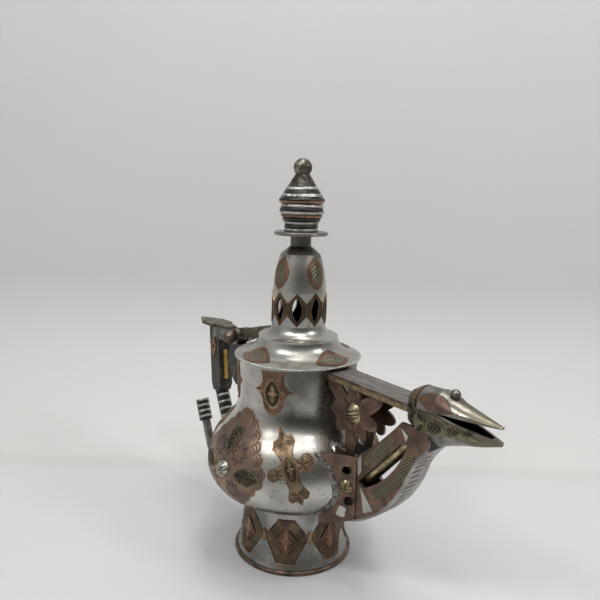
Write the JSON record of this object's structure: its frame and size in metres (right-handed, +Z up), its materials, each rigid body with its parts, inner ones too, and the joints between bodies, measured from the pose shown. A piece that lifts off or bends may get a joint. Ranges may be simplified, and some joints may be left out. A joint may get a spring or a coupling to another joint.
{
  "type": "bird-spout coffee pot",
  "caption": "Footed coffee pot of tinned sheet with a bird-head spout, a hinged tower lid, a horn-ringed handle and copper and brass trim.",
  "frame": {"origin": "centre of the foot's resting plane, on the vessel's axis", "axes": "+X towards the spout, +Z up, +Y to the left of the spout"},
  "size_m": [0.3063, 0.1376, 0.286],
  "materials": {
    "white_metal": "hand-rubbed tin with dull grey patches",
    "copper": "dull engraved copper",
    "old_brass": "olive tarnished brass, punched and engraved",
    "dark_iron": "blackened metal, worn at edges",
    "black_horn": "polished black horn"
  },
  "bodies": {
    "pot": {"arm_overlays": "copper", "bar_inlay": "old_brass", "bar_lenses": "copper", "body_shell": "white_metal", "bridge_edges": "old_brass", "bridge_plate": "white_metal", "cheek_panels": "old_brass", "cross_lenses": "old_brass", "cross_plaques": "copper", "crown_bead": "white_metal", "crown_collar": "old_brass", "crown_inlays": "copper", "flower_bosses": "old_brass", "flower_left": "copper", "flower_right": "copper", "foot_diamonds": "copper", "foot_links": "old_brass", "foot_panels": "old_brass", "foot_rim": "copper", "foot_ring": "white_metal", "grip_horn": "black_horn", "grip_rings": "white_metal", "grip_rod": "white_metal", "handle_bar": "dark_iron", "handle_root": "white_metal", "hinge_head": "dark_iron", "hinge_knobs": "dark_iron", "hinge_pin": "white_metal", "jaw": "white_metal", "medallion_bosses": "white_metal", "medallion_lenses": "old_brass", "medallions": "copper", "neck_bracket": "dark_iron", "neck_pendants": "copper", "pendant_lenses": "old_brass", "pillar_bosses": "old_brass", "spout_plate_left": "white_metal", "spout_plate_right": "white_metal", "spout_tube": "old_brass", "tail_horn": "black_horn", "tail_rings": "white_metal", "tail_rod": "white_metal", "tail_tube": "white_metal", "thumb_leaf": "old_brass", "under_strip": "white_metal", "upper_beak": "white_metal"},
    "lid": {"lid_shell": "white_metal", "lid_edge": "white_metal", "lid_collar": "white_metal", "lid_lenses": "copper", "tower_lenses": "old_brass", "window_frames": "old_brass", "lid_strap": "white_metal", "finial_disc": "white_metal", "finial_rings": "white_metal", "finial_horn": "black_horn", "finial_copper": "copper", "finial_cap": "white_metal", "finial_ball": "white_metal", "finial_rod": "white_metal"}
  },
  "joints": [
    {"name": "lid_hinge", "type": "hinge", "parent": "pot", "child": "lid", "pos_m": [-0.073, 0, 0.1443], "axis": [0, -1, 0], "range_deg": [0, 95]}
  ]
}
